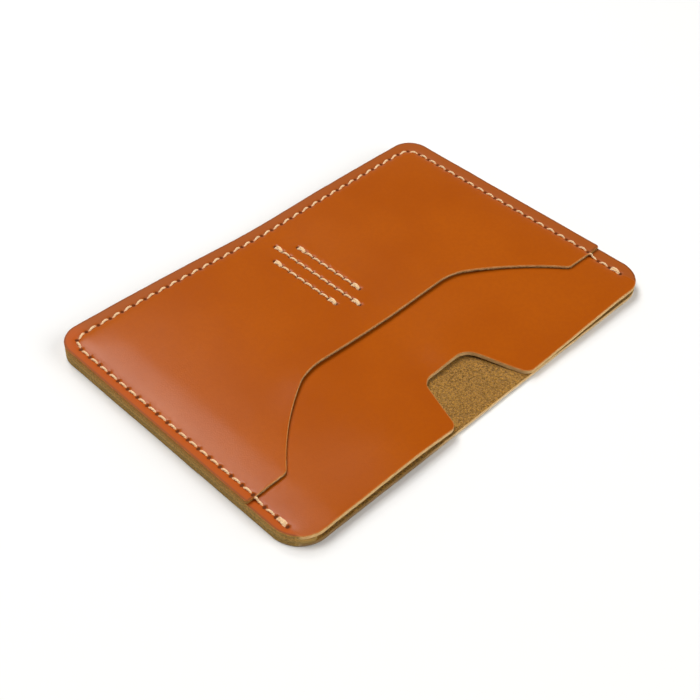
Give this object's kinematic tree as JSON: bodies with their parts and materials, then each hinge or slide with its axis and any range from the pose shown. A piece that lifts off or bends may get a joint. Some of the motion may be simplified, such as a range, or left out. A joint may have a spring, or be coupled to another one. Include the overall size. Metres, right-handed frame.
{
  "type": "card holder",
  "caption": "Flat sewn leather card holder of passport size, with an open-ended main pocket, a thumb notch and a slip pocket with a scooped mouth in front.",
  "frame": {"origin": "centre of the outline, on the surface that the back panel rests on", "axes": "+X along the long sides, +Y from the open long side to the sewn long side, +Z from the back panel up to the front panel"},
  "size_m": [0.1414, 0.0948, 0.0059],
  "materials": {
    "panel_leather": "smooth orange-tan vegetable-tanned grain with a soft sheen, golden-olive suede on the flesh side, raw cut edges",
    "welt_leather": "raw olive-brown cut edges and flesh side",
    "thread": "cream twisted and waxed polyester thread"
  },
  "bodies": {
    "root": {"back_panel": "panel_leather", "left_welt": "welt_leather", "right_welt": "welt_leather", "middle_panel": "panel_leather", "front_panel": "panel_leather", "seam_needle_thread": "thread", "seam_bobbin_thread": "thread", "left_row_needle_thread": "thread", "left_row_bobbin_thread": "thread", "middle_row_needle_thread": "thread", "middle_row_bobbin_thread": "thread", "right_row_needle_thread": "thread", "right_row_bobbin_thread": "thread"}
  },
  "joints": []
}
